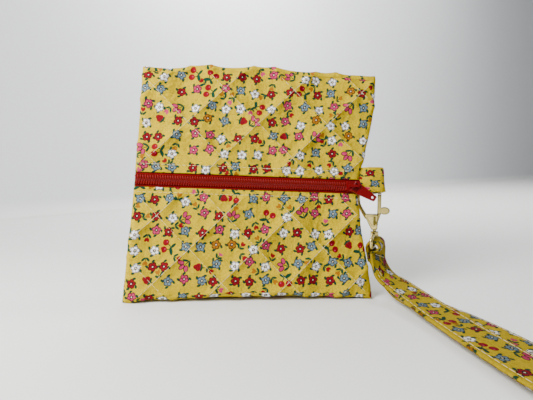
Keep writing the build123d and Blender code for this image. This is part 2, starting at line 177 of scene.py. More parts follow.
def flower_print(name, depth):
    """Printed cotton in five flower colours. depth darkens the whole print; the strap's darker copy
    is painted shade.
    """
    s = Shader(name)
    cloth = s.cloth_coordinates()

    def cells_at(vector, cell, randomness):
        return s.node(
            "ShaderNodeTexVoronoi",
            {"Vector": vector, "Scale": 1.0 / cell, "Randomness": randomness},
            voronoi_dimensions="2D",
        )

    def vector_math(operation, a, b):
        return s.node("ShaderNodeVectorMath", {0: a, 1: b}, operation=operation).outputs[0]

    def motif_cells(cell, randomness, shift):
        """Cells of one motif each: turned place in the cell, two random numbers, the middle."""
        moved = vector_math("ADD", cloth, shift)
        cells = cells_at(moved, cell, randomness)
        local = vector_math("SUBTRACT", moved, cells.outputs["Position"])
        dice = s.node("ShaderNodeSeparateColor", {"Color": cells.outputs["Color"]})
        turned = s.node(
            "ShaderNodeVectorRotate",
            {"Vector": local, "Angle": s.mul(dice.outputs[0], TURN)},
            rotation_type="Z_AXIS",
        ).outputs[0]
        xyz = s.node("ShaderNodeSeparateXYZ", {"Vector": turned})
        x, y = xyz.outputs[0], xyz.outputs[1]
        radius = s.math("SQRT", s.add(s.mul(x, x), s.mul(y, y)))
        angle = s.math("ARCTAN2", y, x)
        return x, y, radius, angle, dice.outputs[1], dice.outputs[2], cells.outputs["Position"]

    def ellipse(x, y, cx, cy, a, b, turn=0.0):
        """Middle cx, cy; half axes a and b; turn in radians."""
        dx, dy = s.sub(x, cx), s.sub(y, cy)
        ca, sa = math.cos(turn), math.sin(turn)
        px = s.mul(s.add(s.mul(dx, ca), s.mul(dy, sa)), 1.0 / a)
        py = s.mul(s.sub(s.mul(dy, ca), s.mul(dx, sa)), 1.0 / b)
        far = s.math("SQRT", s.add(s.mul(px, px), s.mul(py, py)))
        return s.edge(s.mul(s.sub(1.0, far), min(a, b)), 9.0)

    def most(*shapes):
        found = shapes[0]
        for shape in shapes[1:]:
            found = s.math("MAXIMUM", found, shape)
        return found

    def in_band(value, low, high):
        return s.mul(s.math("GREATER_THAN", value, low), s.math("LESS_THAN", value, high))

    weave = s.edge(s.sub(s.noise(cloth, 1.3, 2.0), 0.5), 2.5)
    colour = s.mix(s.mul(weave, 0.9), GROUND, DEEP_GROUND)

    # five-petalled flowers with four leaf tips, in most cells
    flower_cell, flower_spread, flower_shift = 8.2, 0.42, (3.1, 7.7, 0.0)
    flower_share, fruit_share, fan_share = 0.84, 0.905, 0.955
    petals, leaf_tips = 5, 4
    x, y, radius, angle, dice, kind, _ = motif_cells(flower_cell, flower_spread, flower_shift)
    is_flower = s.math("LESS_THAN", kind, flower_share)
    lobes = s.math("POWER", s.math("ABSOLUTE", s.math("COSINE", s.mul(angle, petals / 2))), 0.55)
    petal_edge = s.math("MULTIPLY_ADD", lobes, 0.78, 1.72)
    flower = s.mul(s.edge(s.sub(petal_edge, radius), 7.0), is_flower)
    spokes = s.sub(s.math("FRACT", s.math("MULTIPLY_ADD", angle, leaf_tips / TURN, dice)), 0.5)
    across = s.mul(s.mul(spokes, TURN / leaf_tips), radius)
    past_petals = s.sub(radius, 2.85)
    leaf_a = s.mul(past_petals, 1.25)
    leaf_b = s.mul(s.add(across, s.mul(past_petals, 0.5)), 1.35)
    leaf_far = s.math("SQRT", s.add(s.mul(leaf_a, leaf_a), s.mul(leaf_b, leaf_b)))
    leaves = s.mul(s.edge(s.sub(1.0, leaf_far), 4.0), is_flower)
    colour = s.mix(leaves, colour, GREEN)
    petal_colour = s.pick(
        dice, [(0.0, WHITE), (0.25, RED), (0.50, BLUE), (0.74, PINK), (0.93, OCHRE)]
    )
    speckle = s.noise(cloth, 1.25, 2.0, 0.7)
    rim = s.edge(s.sub(radius, s.sub(petal_edge, 0.55)), 6.0)
    rim = s.mul(rim, s.edge(s.sub(speckle, 0.42), 14.0))
    petal_colour = s.mix(s.mul(rim, 0.9), petal_colour, NAVY)
    folds = s.mul(s.edge(s.sub(0.42, lobes), 6.0), s.edge(s.sub(radius, 0.8), 5.0))
    petal_colour = s.mix(s.mul(folds, 0.85), petal_colour, NAVY)
    heart = s.edge(s.sub(s.math("MULTIPLY_ADD", speckle, 1.3, 0.15), radius), 6.0)
    heart_colour = s.mix(s.edge(s.sub(0.34, radius), 8.0), NAVY, CREAM)
    petal_colour = s.mix(heart, petal_colour, heart_colour)
    colour = s.mix(flower, colour, petal_colour)

    # cherries, fan flowers and strawberries, in the cells that hold no flower
    is_fruit = in_band(kind, flower_share, fruit_share)
    is_fan = in_band(kind, fruit_share, fan_share)
    is_berry = in_band(kind, fan_share, 1.01)
    stems = most(ellipse(x, y, -1.0, 0.9, 2.0, 0.24, 1.1), ellipse(x, y, 1.1, 0.8, 2.0, 0.24, 2.0))
    fruit_leaf = most(
        ellipse(x, y, 1.5, 2.6, 2.1, 0.85, 0.5), ellipse(x, y, -1.4, 2.8, 1.6, 0.7, 2.6)
    )
    colour = s.mix(s.mul(most(stems, fruit_leaf), is_fruit), colour, GREEN)
    fruit = most(ellipse(x, y, -1.9, -1.3, 1.65, 1.6), ellipse(x, y, 1.8, -1.2, 1.6, 1.65))
    shine = most(ellipse(x, y, -2.3, -0.8, 0.36, 0.36), ellipse(x, y, 1.4, -0.7, 0.36, 0.36))
    colour = s.mix(s.mul(fruit, is_fruit), colour, s.mix(shine, RED, PINK))

    fan_leaf = most(
        ellipse(x, y, 0.0, -1.6, 0.26, 1.9), ellipse(x, y, 1.4, -1.5, 1.6, 0.6, 0.7),
        ellipse(x, y, -1.4, -1.7, 1.6, 0.6, 2.4),
    )
    colour = s.mix(s.mul(fan_leaf, is_fan), colour, GREEN)
    fan_rim = most(
        ellipse(x, y, -2.0, 0.9, 1.75, 1.2, 2.5), ellipse(x, y, 2.0, 0.9, 1.75, 1.2, 0.6),
        ellipse(x, y, 0.0, 2.0, 1.1, 1.7),
    )
    colour = s.mix(s.mul(fan_rim, is_fan), colour, NAVY)
    fan = most(
        ellipse(x, y, -2.0, 0.9, 1.4, 0.85, 2.5), ellipse(x, y, 2.0, 0.9, 1.4, 0.85, 0.6),
        ellipse(x, y, 0.0, 2.0, 0.72, 1.35),
    )
    colour = s.mix(s.mul(fan, is_fan), colour, PINK)

    berry = most(ellipse(x, y, 0.0, -0.2, 2.0, 1.6), ellipse(x, y, 0.0, -1.1, 1.3, 1.7))
    seeds = s.edge(s.sub(s.noise(cloth, 2.4, 1.0, 0.4), 0.60), 20.0)
    colour = s.mix(s.mul(berry, is_berry), colour, s.mix(s.mul(seeds, 0.7), RED, NAVY))
    berry_leaf = most(
        ellipse(x, y, 0.0, 1.9, 0.28, 1.3), ellipse(x, y, 0.9, 1.4, 1.2, 0.5, 2.8),
        ellipse(x, y, -0.9, 1.4, 1.2, 0.5, 0.35),
    )
    colour = s.mix(s.mul(berry_leaf, is_berry), colour, GREEN)

    # small tulips in the gaps: shown only where their own middle is far from every flower
    tulip_shift = (11.9, 2.3, 0.0)
    tx, ty, _, _, tulip_dice, tulip_kind, tulip_middle = motif_cells(5.4, 0.7, tulip_shift)
    to_flowers = tuple(p - q for p, q in zip(flower_shift, tulip_shift))
    nearest = cells_at(vector_math("ADD", tulip_middle, to_flowers), flower_cell, flower_spread)
    clearance = s.mul(nearest.outputs["Distance"], flower_cell)
    room = s.mul(s.math("GREATER_THAN", clearance, 4.1), s.math("GREATER_THAN", tulip_kind, 0.35))
    bud = most(
        ellipse(tx, ty, -0.50, 1.1, 0.68, 1.1, 0.35), ellipse(tx, ty, 0.50, 1.1, 0.68, 1.1, -0.35)
    )
    greens = most(
        ellipse(tx, ty, 1.05, -0.8, 1.3, 0.58, 0.8), ellipse(tx, ty, -1.05, -0.9, 1.3, 0.58, 2.3),
        ellipse(tx, ty, 0.0, -0.6, 0.2, 1.2),
    )
    colour = s.mix(s.mul(greens, room), colour, GREEN)
    bud_colour = s.pick(tulip_dice, [(0.0, OCHRE), (0.50, RED), (0.80, PINK)])
    colour = s.mix(s.mul(bud, room), colour, bud_colour)

    # woven surface over soft creases
    threads = s.node("ShaderNodeSeparateXYZ", {"Vector": cloth})
    warp = s.math("SINE", s.mul(threads.outputs[0], 15.0))
    weft = s.math("SINE", s.mul(threads.outputs[1], 15.0))
    weave_height = s.add(s.mul(s.mul(warp, weft), 0.35), s.noise(cloth, 2.6, 3.0))
    creases = s.noise(cloth, 0.16, 4.0, 0.55)
    wrinkled = s.node("ShaderNodeBump", {"Height": creases, "Strength": 0.55, "Distance": 0.004})
    woven = s.node("ShaderNodeBump", {"Height": weave_height, "Normal": wrinkled.outputs[0]})
    woven.inputs["Strength"].default_value = 0.25
    woven.inputs["Distance"].default_value = 0.00025
    s.put(s.bsdf.inputs["Normal"], woven.outputs[0])
    # darken toward black by depth; in the strap's copy this is painted shade
    colour = s.mix(1.0 - depth, colour, BLACK)
    return s.finish(colour=colour, roughness=0.9, specular=0.12)


def plain(name, colour, roughness, metallic=0.0, grain=0.0, grain_scale=900.0, **extra):
    s = Shader(name)
    place = s.node("ShaderNodeTexCoord").outputs["Object"]
    spots = s.noise(place, grain_scale, 2.0)
    darker = tuple(v * 0.82 for v in colour[:3]) + (1.0,)
    shade = s.mix(s.mul(spots, 0.6), colour, darker)
    if grain:
        s.bump(spots, grain, 0.0001)
    return s.finish(colour=shade, roughness=roughness, metallic=metallic, **extra)


def tape_material():
    """Ribbed tape with painted shade in its rib troughs; across it, a painted shade line in the
    groove beside the coil and a painted shadow under the cloth's edge.
    """
    s = Shader("ribbed_red_tape")
    cloth = s.cloth_coordinates()
    xyz = s.node("ShaderNodeSeparateXYZ", {"Vector": cloth})
    ribs = s.math("SINE", s.mul(xyz.outputs[1], 9.5))
    steps = s.math("SINE", s.mul(xyz.outputs[0], 8.0))
    height = s.add(s.mul(ribs, 0.5), s.mul(s.mul(ribs, steps), 0.3))
    # painted shade: the rib troughs darker, the crests in the tape's red
    shade = s.mix(s.math("MULTIPLY_ADD", height, 0.4, 0.5, clamp=True), PAINTED_RIB_SHADE_RED, BRIGHT_RED)
    # painted shade in the groove beside the coil, painted shadow under the cloth's edge
    for middle, half in ((2.42, 0.22), (3.75, 0.35)):
        away = s.math("ABSOLUTE", s.sub(xyz.outputs[1], middle))
        shade = s.mix(s.mul(s.edge(s.sub(half, away), 4.0), 0.75), shade, PAINTED_SHADE_RED)
    s.bump(height, 0.5, 0.0002)
    return s.finish(colour=shade, roughness=0.8, specular=0.1)


def coil_material():
    """Nylon coil with painted shade in the gaps between its turns; the tops of its turns keep the
    coil's red.
    """
    s = Shader("red_nylon")
    open_sky = s.node("ShaderNodeAmbientOcclusion", {"Distance": 0.0007}, samples=8)
    # painted shade: ambient occlusion darkens the gaps between the turns
    top = s.math("MULTIPLY_ADD", open_sky.outputs["AO"], 2.4, -1.0, clamp=True)
    return s.finish(colour=s.mix(top, PAINTED_SHADE_RED, BRIGHT_RED), roughness=0.45, specular=0.25)


def edged_gold():
    """Polished pale gold with a painted dark reflection darkening its outer edges to olive."""
    s = Shader("pale_gold")
    edge_shade_ao = s.node("ShaderNodeAmbientOcclusion", {"Distance": 0.0010}, inside=True, samples=8)
    place = s.node("ShaderNodeTexCoord").outputs["Object"]
    stains = s.noise(place, 500.0, 2.0)
    bright = s.mix(s.mul(stains, 0.7), (0.88, 0.72, 0.27, 1.0), (0.50, 0.37, 0.08, 1.0))
    # painted dark reflection: near the outer edges the colour falls to dark olive
    away = s.math("MULTIPLY_ADD", edge_shade_ao.outputs["AO"], 4.0, -2.4, clamp=True)
    shade = s.mix(away, (0.13, 0.10, 0.02, 1.0), bright)
    return s.finish(colour=shade, roughness=0.16, metallic=1.0)


PRINT = flower_print("floral_cotton", 0.93)
# the strap's copy of the print is darkened as painted shade
SHADED_STRAP_PRINT = flower_print("floral_cotton_strap_shaded", 0.56)
TAPE = tape_material()
COIL = coil_material()
THREAD = plain("cream_thread", (0.66, 0.56, 0.34, 1.0), 0.8, grain=0.3)
ENAMEL = plain(
    "red_enamel", (0.16, 0.0015, 0.003, 1.0), 0.32, coat=0.15, coat_roughness=0.15, specular=0.25
)
GOLD = edged_gold()
PALE_THREAD = plain("yellow_thread", (0.60, 0.50, 0.20, 1.0), 0.8, grain=0.3)
STEEL = plain("spring_steel", (0.515, 0.515, 0.515, 1.0), 0.3, metallic=1.0)
LINING = plain("lining_cotton", (0.7605, 0.6038, 0.2623, 1.0), 0.9, grain=0.2)
WADDING = plain("white_wadding", (0.95, 0.95, 0.925, 1.0), 0.95, grain=0.5, grain_scale=300.0)


# ---- meshes --------------------------------------------------------------------------------------
def grid_faces(rows, columns, closed_rows=False, closed_columns=False):
    index = np.arange(rows * columns).reshape(rows, columns)
    if closed_rows:
        index = np.vstack([index, index[:1]])
    if closed_columns:
        index = np.hstack([index, index[:, :1]])
    corners = (index[:-1, :-1], index[:-1, 1:], index[1:, 1:], index[1:, :-1])
    return np.stack(corners, axis=-1).reshape(-1, 4)


def make_mesh(name, points, faces, material, cloth=None):
    """points in millimetres; cloth is each point's place on the flat cloth, in millimetres."""
    mesh = bpy.data.meshes.new(name)
    mesh.from_pydata((np.asarray(points, float).reshape(-1, 3) * MM).tolist(), [], faces.tolist())
    mesh.polygons.foreach_set("use_smooth", [True] * len(mesh.polygons))
    if cloth is not None:
        layer = mesh.uv_layers.new(name="cloth")
        corner = np.zeros(len(mesh.loops), np.int32)
        mesh.loops.foreach_get("vertex_index", corner)
        flat = np.asarray(cloth, float).reshape(-1, 2)[corner] / UV_SCALE
        layer.data.foreach_set("uv", flat.astype(np.float32).ravel())
    mesh.materials.append(material)
    mesh.update()
    made = bpy.data.objects.new(name, mesh)
    bpy.context.scene.collection.objects.link(made)
    return made


def unit(v):
    return v / np.maximum(np.linalg.norm(v, axis=-1, keepdims=True), 1e-9)


def stitches(name, centres, along, out, length, radius, material=THREAD):
    """One mesh of short rounded stitches."""
    # place along the stitch and relative thickness of each ring of points
    rings = [(-1.0, 0.25), (-0.8, 0.75), (-0.4, 1.0), (0.4, 1.0), (0.8, 0.75), (1.0, 0.25)]
    turns = np.arange(6) * math.pi / 3
    along, out = unit(along), unit(out)
    side = unit(np.cross(along, out))
    out = np.cross(side, along)
    points, faces = [], []
    one = grid_faces(len(rings), 6, closed_columns=True)
    for k, (c, a, b, n) in enumerate(zip(centres, along, side, out)):
        for step, wide in rings:
            ring = c + a * step * length / 2 - n * 0.25 * radius * step * step * 2
            ring = ring + wide * radius * (np.outer(np.cos(turns), b) + np.outer(np.sin(turns), n))
            points.append(ring)
        faces.append(one + k * len(rings) * 6)
    return make_mesh(name, np.concatenate(points), np.concatenate(faces), material)


def stitch_line(path, outward, pitch):
    """Evenly spaced places along a path: centre, direction and outward for each stitch."""
    steps = np.linalg.norm(np.diff(path, axis=0), axis=1)
    run = np.concatenate([[0], np.cumsum(steps)])
    at = np.arange(pitch / 2, run[-1] - pitch / 4, pitch)
    centre = np.stack([np.interp(at, run, path[:, k]) for k in range(3)], 1)
    before = np.stack([np.interp(at - 0.5, run, path[:, k]) for k in range(3)], 1)
    after = np.stack([np.interp(at + 0.5, run, path[:, k]) for k in range(3)], 1)
    out = np.stack([np.interp(at, run, outward[:, k]) for k in range(3)], 1)
    return centre, after - before, out


# ---- the pouch's shape ---------------------------------------------------------------------------
HEIGHT = 120.0
LEAN_ANGLE = math.radians(12.0)  # how far the pouch leans back
LEAN, COS_LEAN = math.tan(LEAN_ANGLE), math.cos(LEAN_ANGLE)
SIDE = math.tan(math.radians(2.8))  # how far both side seams lean to the right
FRONT_FOOT = -12.0  # y of the front panel's plane at the floor
ZIP_HEIGHT, ZIP_GAP = 58.6, 3.70  # the zipper's middle and half of the opening in the cover
SEAM = 0.045  # share of the half width in which front and back close on each other
FRONT_OUT = np.array([0.0, -COS_LEAN, math.sin(LEAN_ANGLE)])
FRONT_UP = np.array([0.0, math.sin(LEAN_ANGLE), COS_LEAN])
# quilt lines on the flat cloth: way of the slope, first line, distance to the next
UPPER_QUILT = ((1, 91.3, 36.5), (-1, -91.6, 37.0))
LOWER_QUILT = ((1, 28.2, 33.9), (-1, -24.6, 33.9))


# outline of the front panel: x of the side seams at z, and z of the top, base and zipper at x
def left_x(z):
    return -63.3 + z * (SIDE + 0.0067) + 0.9 * np.sin(math.pi * z / HEIGHT)


def right_x(z):
    flare = 1.7 / (1 + np.exp((85.0 - z) / 7.0)) + 0.9 / (1 + np.exp((z - 9.0) / 2.5))
    return 61.9 + z * SIDE - 7.6 * np.exp(-(((z - 52.0) / 31.0) ** 2)) + flare


def top_z(x):
    return 118.3 + 2.6 * np.exp(-((x / 34.0) ** 2)) - 0.012 * x + 0.35 * np.sin(x / 6.1)


def base_z(x):
    return 0.15 + 2.0 * np.clip(1 - (x / 62.0) ** 2, 0, 1)


def zip_z(x):
    return ZIP_HEIGHT - 0.0307 * x


def family_distance(value, first, period):
    """Distance to the nearest of a family of parallel 45 degree lines."""
    wrapped = np.mod(value - first + period / 2, period) - period / 2
    return np.abs(wrapped) / math.sqrt(2)


def quilt_puff(across, rise, upper):
    """Height of the padding between the crossing quilt lines, from 0 to 1."""
    height = 1.0
    for sign, first, period in UPPER_QUILT if upper else LOWER_QUILT:
        height = height * (1 - np.exp(-family_distance(across + sign * rise, first, period) / 3.0))
    return height


# direction, wavelength, phase and height of each small crease
WAVES = [
    (rng.uniform(0, math.pi), rng.uniform(9, 34), rng.uniform(0, 6.28), rng.uniform(0.08, 0.26))
    for _ in range(14)
]


def crumple(across, rise):
    total = np.zeros_like(across)
    for heading, wavelength, phase, size in WAVES:
        along = across * math.cos(heading) + rise * math.sin(heading)
        total += size * np.sin(TURN * along / wavelength + phase)
    return total


def pouch_cloth(columns, density, inset, puff):
    """One cloth from the zipper's lower edge down the front, under the base, up the back, over the
    top and down to the zipper's upper edge. inset moves it inside the cover. Returns its points,
    its flat coordinates, its outward directions and the rows of each region."""
    ends = 1.0 - (inset * 1.8) / 62.0
    closing = SEAM * np.array([0, 0.01, 0.05, 0.12, 0.22, 0.36, 0.55, 0.78])
    u = np.concatenate([-1 + closing, np.linspace(SEAM - 1, 1 - SEAM, columns), 1 - closing[::-1]])
    g = np.sqrt(np.clip(1 - (np.clip(np.abs(u) - 1 + SEAM, 0, None) / SEAM) ** 2, 0, 1))
    thick = max(0.2, 5.0 - 2 * inset) * g
    bow = np.clip(1 - u * u, 0, 1)
    rows_n, rows_z, rows_s, rows_puff, regions = [], [], [], [], {}

    def at_x(z):
        return (left_x(z) + right_x(z)) / 2 + u * ends * (right_x(z) - left_x(z)) / 2

    def whole(z):
        belly = 0.8 + 26.0 * np.clip(1 - z / HEIGHT, 0, 1) ** 0.8
        return thick + bow * (belly - inset * 0.4)

    top = top_z(at_x(118.0)) - inset
    base = base_z(at_x(0.0)) + inset
    low_lip = zip_z(at_x(55.0)) - ZIP_GAP - inset * 0.5
    high_lip = zip_z(at_x(62.0)) + ZIP_GAP + inset * 0.5
    lip, fold_top, fold_front, fold_back = 0.46, 2.6, 2.4, 4.2

    def row(n, z, s, amount):
        """n is the depth behind the front panel, s the place along the flat cloth."""
        rows_n.append(n * np.ones_like(u))
        rows_z.append(z * np.ones_like(u))
        rows_s.append(s * np.ones_like(u))
        rows_puff.append(amount * np.ones_like(u))

    def lip_rows(edge, sign, opening):
        steps = [("under", 3.0)] + [(None, a) for a in (180, 150, 120, 90, 60, 30)]
        for kind, a in steps if opening else steps[::-1]:
            if kind:
                row(2 * lip * g, edge - sign * a, (edge - sign * a) / COS_LEAN, 0.0)
            else:
                t = math.radians(a)
                z = edge - sign * lip * (1 - math.sin(t))
                row(lip * (1 - math.cos(t)) * g, z, z / COS_LEAN, 0.0)

    def fade(distance, reach):
        return np.clip(distance / reach, 0, 1) ** 0.8

    lip_rows(low_lip, 1, True)
    start = len(rows_n)
    for t in np.linspace(0, 1, int(52 * density)):
        z = (low_lip - lip) * (1 - t) + (base + fold_front) * t
        row(0.0, z, z / COS_LEAN, fade(low_lip - z, 7.0))
    regions["lower"] = (start, len(rows_n))
    depth_base = whole(0.0)
    for t in np.linspace(0, 1, 9)[1:]:
        a = t * math.pi / 2
        reach = np.minimum(fold_front, depth_base / 2)
        z = base + fold_front * (1 - math.sin(a))
        row(reach * (1 - np.cos(a)), z, 2.4 * (1 - t) - 1.5 * t, 0.6 - 0.3 * t)
    for t in np.linspace(0, 1, int(16 * density))[1:]:
        first = np.minimum(fold_front, depth_base / 2)
        last = depth_base - np.minimum(fold_back, depth_base / 2)
        row(first + (last - first) * t, base * (1 - t) + (0.3 + inset) * t, -1.5 - 24.0 * t, 0.3)
    back_base = 0.3 + inset
    for t in np.linspace(0, 1, 9)[1:]:
        a = t * math.pi / 2
        z = back_base + fold_back * (1 - math.cos(a))
        reach = np.minimum(fold_back, depth_base / 2)
        row(whole(z) - reach * (1 - math.sin(a)), z, -25.5 - 6.0 * t, 0.3 + 0.5 * t)
    start = len(rows_n)
    for t in np.linspace(0, 1, int(72 * density))[1:]:
        z = (back_base + fold_back) * (1 - t) + (top - fold_top) * t
        row(whole(z), z, -31.5 - 116.0 * t, 1.0 - 0.4 * t ** 8)
    regions["back"] = (start, len(rows_n))
    for t in np.linspace(0, 1, 13)[1:]:
        a = t * math.pi
        z = top - fold_top * (1 - math.sin(a))
        depth = whole(top - fold_top)
        row(depth * (1 + math.cos(a)) / 2, z, 125.0 - 4.0 * t, 0.6)
    start = len(rows_n)
    for t in np.linspace(0, 1, int(56 * density))[1:]:
        z = (top - fold_top) * (1 - t) + (high_lip + lip) * t
        puffed = np.minimum(0.6 + fade(top - fold_top - z, 6.0), 1.0) * fade(z - high_lip, 7.0)
        row(0.0, z, z / COS_LEAN, puffed)
    regions["upper"] = (start, len(rows_n))
    lip_rows(high_lip, -1, False)

    n, z, s = np.array(rows_n), np.array(rows_z), np.array(rows_s)
    amount = np.array(rows_puff) * np.clip(g * 1.2 - 0.2, 0, 1)
    half = (right_x(z) - left_x(z)) / 2
    x = (left_x(z) + right_x(z)) / 2 + u * ends * half
    y = FRONT_FOOT + z * LEAN + 2.5 * (1 - g) + inset * g + n
    points = np.stack([x, y, z], -1)
    across = x - z * SIDE
    out = unit(np.cross(np.gradient(points, axis=1), np.gradient(points, axis=0)))
    out[:, [0, -1]] = out[:, [1, -2]]
    if puff:
        upper = np.zeros(s.shape, bool)
        upper[regions["upper"][0]:] = True
        height = np.where(upper, quilt_puff(across, s, True), quilt_puff(across, s, False))
        lift = puff * (height - 0.62) + crumple(across, s) * 0.8
        near_top = np.exp(-np.abs(HEIGHT - z) / 12.0)
        lift = lift + near_top * 0.5 * np.sin(x / 5.2 + 0.8)
        points = points + out * (lift * amount)[..., None]
    return points, np.stack([across, s], -1), out, regions


# ---- quilted cover -------------------------------------------------------------------------------
fine = 1.9
cover_columns = int(62 * fine * 1.3)
cover_points, cover_flat, cover_out, cover_rows = pouch_cloth(cover_columns, fine, 0.0, 2.4)
cover = make_mesh(
    "quilted_cover", cover_points, grid_faces(*cover_points.shape[:2]), PRINT, cover_flat
)
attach(cover, "pouch")
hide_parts("outer_cover")

wadding_points, wadding_flat, _, _ = pouch_cloth(30, 0.4, 2.3, 0.0)
wadding = make_mesh(
    "wadding_layer", wadding_points, grid_faces(*wadding_points.shape[:2]), WADDING, wadding_flat
)
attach(wadding, "pouch")
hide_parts("batting")

lining_points, lining_flat, _, _ = pouch_cloth(30, 0.4, 3.0, 0.0)
lining = make_mesh(
    "lining_cloth", lining_points, grid_faces(*lining_points.shape[:2]), LINING, lining_flat
)
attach(lining, "pouch")
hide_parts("lining")


def on_cover(region, across, rise):
    """Points and outward directions on the finished cover at flat coordinates in one region."""
    first, last = cover_rows[region]
    flat = cover_flat[first:last]
    points, outs = [], []
    for a, r in zip(across, rise):
        column = flat.shape[1] // 2
        for _ in range(3):
            order = np.argsort(flat[:, column, 1])
            row = np.interp(r, flat[order, column, 1], order)
            at = int(round(row))
            column = int(round(np.interp(a, flat[at, :, 0], np.arange(flat.shape[1]))))
        low_row = min(int(row), last - first - 2)
        part = row - low_row
        real_column = np.interp(a, flat[at, :, 0], np.arange(flat.shape[1]))
        low_column = min(int(real_column), flat.shape[1] - 2)
        side = real_column - low_column
        block = cover_points[first + low_row:first + low_row + 2, low_column:low_column + 2]
        point = (
            block[0, 0] * (1 - part) * (1 - side) + block[0, 1] * (1 - part) * side
            + block[1, 0] * part * (1 - side) + block[1, 1] * part * side
        )
        points.append(point)
        outs.append(cover_out[first + low_row, low_column])
    return np.array(points), np.array(outs)


def quilt_threads(name, region, families, low, high):
    """Stitches along the quilt lines of one region, between two places along the cloth."""
    centres, ways, outs = [], [], []
    for sign, first, period in families:
        for k in range(-9, 10):
            constant = first + k * period
            rise = np.arange(low, high, 1.0)
            across = constant - sign * rise
            inside = np.abs(across) < 58.5
            if inside.sum() < 6:
                continue
            path, out = on_cover(region, across[inside], rise[inside])
            c, w, o = stitch_line(path, out, 2.9)
            centres.append(c)
            ways.append(w)
            outs.append(o)
    centres, ways, outs = (np.concatenate(v) for v in (centres, ways, outs))
    made = stitches(name, centres + unit(outs) * 0.06, ways, outs, 2.65, 0.13)
    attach(made, "pouch")


quilt_threads("quilting_thread_upper", "upper", UPPER_QUILT, 67.0, 118.5)
quilt_threads("quilting_thread_lower", "lower", LOWER_QUILT, 3.5, 52.5)
quilt_threads("quilting_thread_back", "back", LOWER_QUILT, -146.0, -33.0)


# ---- zipper --------------------------------------------------------------------------------------
SLOPE = math.radians(-1.8)  # the zipper falls slightly to the right
ZIP_MIDDLE = np.array([0.0, FRONT_FOOT + ZIP_HEIGHT * LEAN, ZIP_HEIGHT])
ZIP_UP = FRONT_UP * math.cos(SLOPE) - np.array([math.sin(SLOPE), 0.0, 0.0])
ZIP_ALONG = unit(np.cross(ZIP_UP, FRONT_OUT))
ZIP_UP = unit(np.cross(FRONT_OUT, ZIP_ALONG))


def zip_point(a, b, c):
    """A point from its places along the zipper, up the panel and out of the panel."""
    a, b, c = np.broadcast_arrays(np.asarray(a, float), np.asarray(b, float), np.asarray(c, float))
    return ZIP_MIDDLE + a[..., None] * ZIP_ALONG + b[..., None] * ZIP_UP + c[..., None] * FRONT_OUT


for sign, word in ((1, "upper"), (-1, "lower")):
    # the tape's section: distance from the zipper's middle, and height out of the panel
    along = np.linspace(-58.2, 57.2, 150)
    aside = np.array([0.32, 0.8, 1.4, 2.0, 2.3, 2.6, 3.1, 3.7, 4.4, 6.0, 8.5, 11.8])
    level_out = np.array([
        -0.85, -0.72, -0.66, -0.66, -0.72, -0.80, -0.86, -0.95, -1.3, -2.0, -2.5, -2.6,
    ])
    a, b = np.meshgrid(along, aside, indexing="ij")
    c = np.broadcast_to(level_out, a.shape) + 0.05 * np.sin(a * 0.7 + sign)
    tape = make_mesh(
        "zipper_tape_%s_cloth" % word, zip_point(a, sign * b, c), grid_faces(*a.shape), TAPE,
        np.stack([a, b], -1),
    )
    solid = tape.modifiers.new("thickness", "SOLIDIFY")
    solid.thickness = 0.0004
    solid.offset = 0
    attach(tape, "pouch")
    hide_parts("zipper_tape_" + word)

    pitch, wire, steps = 1.25, 0.30, 14
    turns = int(115.6 / pitch)
    t = np.arange(turns * steps) / steps
    a = -58.4 + t * pitch + (pitch / 2 if sign < 0 else 0.0)
    b = sign * (0.98 + 1.12 * np.cos(TURN * t))
    c = -0.12 + 0.50 * np.sin(TURN * t)
    line = zip_point(a, b, c)
    heading = unit(np.gradient(line, axis=0))
    first = unit(np.cross(heading, ZIP_ALONG))
    second = np.cross(heading, first)
    ring = np.arange(6) * math.pi / 3
    coil_points = line[:, None] + wire * (
        np.cos(ring)[None, :, None] * first[:, None] + np.sin(ring)[None, :, None] * second[:, None]
    )
    coil = make_mesh(
        "zipper_coil_%s_spiral" % word, coil_points,
        grid_faces(len(line), 6, closed_columns=True), COIL,
    )
    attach(coil, "pouch")
    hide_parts("zipper_coil_" + word)

for word, offset, low, high in (("upper", 4.25, -58.0, 55.5), ("lower", -2.5, -59.0, 54.5)):
    x = np.arange(low, high, 1.0)
    edge = zip_z(x) + (ZIP_GAP if word == "upper" else -ZIP_GAP)
    rise = (edge + offset) / COS_LEAN
    path, out = on_cover(word, x - edge * SIDE, rise)
    c, w, o = stitch_line(path, out, 2.6)
    topstitch = stitches(
        "topstitch_%s_thread" % word, c + unit(o) * 0.08, w, o, 2.0, 0.17, PALE_THREAD
    )
    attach(topstitch, "pouch")
    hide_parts("topstitch_" + word)


# ---- ribbons: the tab and the strap --------------------------------------------------------------
ROUND = 40  # points round a ribbon's section


